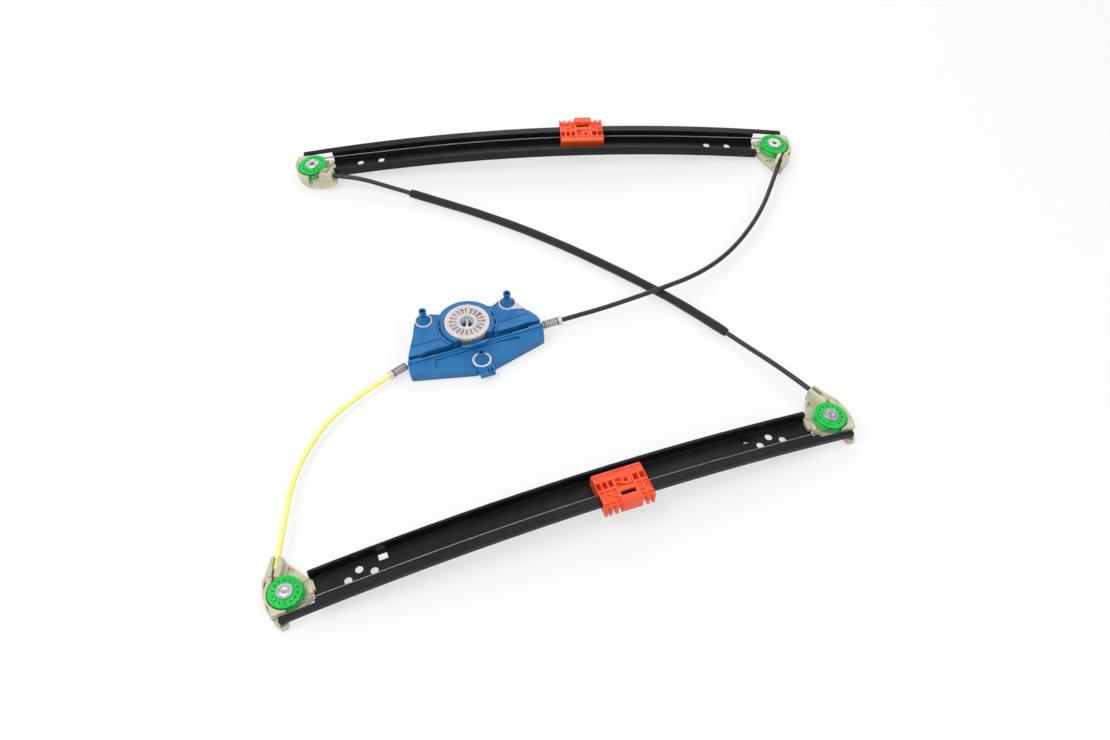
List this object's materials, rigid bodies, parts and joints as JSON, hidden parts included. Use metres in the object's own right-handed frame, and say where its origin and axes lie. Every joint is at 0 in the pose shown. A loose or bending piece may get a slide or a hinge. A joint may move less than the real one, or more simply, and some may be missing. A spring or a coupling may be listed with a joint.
{
  "type": "window regulator",
  "caption": "Cable window regulator with two arched rails, sliding glass carriers, a drum in a housing and sheathed cables between the pulleys.",
  "frame": {"origin": "on the axis of the cable drum, at the mouth of its drive socket", "axes": "+Z along the drum axis, out of the socket; +X to the right and +Y away from the camera in the picture"},
  "size_m": [0.5894, 0.6509, 0.0387],
  "materials": {
    "rail_black": "satin",
    "natural_nylon": "satin",
    "pulley_green": "satin",
    "rivet_steel": "satin",
    "wire_steel": "satin",
    "carrier_orange": "satin",
    "housing_blue": "satin",
    "grommet_pale": "satin",
    "drum_white": "satin",
    "spring_steel": "satin",
    "sheath_yellow": "satin",
    "sheath_black": "satin",
    "foam_black": "matte"
  },
  "bodies": {
    "frame": {"rail_upper": "rail_black", "rail_lower": "rail_black", "bracket_upper_left": "natural_nylon", "bracket_upper_right": "natural_nylon", "bracket_lower_left": "natural_nylon", "bracket_lower_right": "natural_nylon", "pulley_axles": "rivet_steel", "wire_upper": "wire_steel", "wire_lower": "wire_steel", "wire_turns": "wire_steel", "wire_drum": "wire_steel", "drum_housing": "housing_blue", "housing_cover": "housing_blue", "grommets": "grommet_pale", "slit_liners": "grommet_pale", "end_sleeves": "drum_white", "spring_left": "spring_steel", "spring_right": "spring_steel", "sheath_left": "sheath_yellow", "sheath_right": "sheath_black", "sheath_cross": "sheath_black", "foam_sleeve": "foam_black"},
    "upper_carrier": {"carrier_upper": "carrier_orange", "ferrules_upper": "rivet_steel"},
    "lower_carrier": {"carrier_lower": "carrier_orange", "ferrules_lower": "rivet_steel"},
    "drum": {"drum": "drum_white", "drum_windings": "wire_steel"},
    "upper_left_pulley": {"pulley_upper_left": "pulley_green"},
    "upper_right_pulley": {"pulley_upper_right": "pulley_green"},
    "lower_left_pulley": {"pulley_lower_left": "pulley_green"},
    "lower_right_pulley": {"pulley_lower_right": "pulley_green"}
  },
  "joints": [
    {"name": "upper_carrier_travel", "type": "hinge", "parent": "frame", "child": "upper_carrier", "pos_m": [0.0785, 0.2654, -1.912], "axis": [-0.068, 0.9977, 0], "range_deg": [-5.78, 3.19]},
    {"name": "lower_carrier_travel", "type": "hinge", "parent": "frame", "child": "lower_carrier", "pos_m": [0.1059, -0.2105, -1.912], "axis": [-0.3576, 0.9339, 0], "range_deg": [-5.8, 3.21]},
    {"name": "drum_spin", "type": "hinge", "parent": "frame", "child": "drum", "pos_m": [0, 0, -0.0097], "axis": [0, 0, 1], "range_deg": [-285, 497]},
    {"name": "upper_left_pulley_spin", "type": "hinge", "parent": "frame", "child": "upper_left_pulley", "pos_m": [-0.189, 0.24716, -0.01081], "axis": [-0.1393, -0.0095, 0.9902], "range_deg": [-476, 840]},
    {"name": "upper_right_pulley_spin", "type": "hinge", "parent": "frame", "child": "upper_right_pulley", "pos_m": [0.346, 0.28364, -0.01081], "axis": [0.1393, 0.0095, 0.9902], "range_deg": [-476, 840]},
    {"name": "lower_left_pulley_spin", "type": "hinge", "parent": "frame", "child": "lower_left_pulley", "pos_m": [-0.1445, -0.30637, -0.01081], "axis": [-0.1304, -0.0499, 0.9902], "range_deg": [-840, 476]},
    {"name": "lower_right_pulley_spin", "type": "hinge", "parent": "frame", "child": "lower_right_pulley", "pos_m": [0.3563, -0.11463, -0.01081], "axis": [0.1304, 0.0499, 0.9902], "range_deg": [-840, 476]}
  ],
  "couplings": [
    {"joint": "lower_carrier_travel", "follows": "upper_carrier_travel", "ratio": 1},
    {"joint": "drum_spin", "follows": "upper_carrier_travel", "ratio": -85.222},
    {"joint": "upper_left_pulley_spin", "follows": "upper_carrier_travel", "ratio": -144.17},
    {"joint": "upper_right_pulley_spin", "follows": "upper_carrier_travel", "ratio": -144.17},
    {"joint": "lower_left_pulley_spin", "follows": "upper_carrier_travel", "ratio": 144.17},
    {"joint": "lower_right_pulley_spin", "follows": "upper_carrier_travel", "ratio": 144.17}
  ]
}
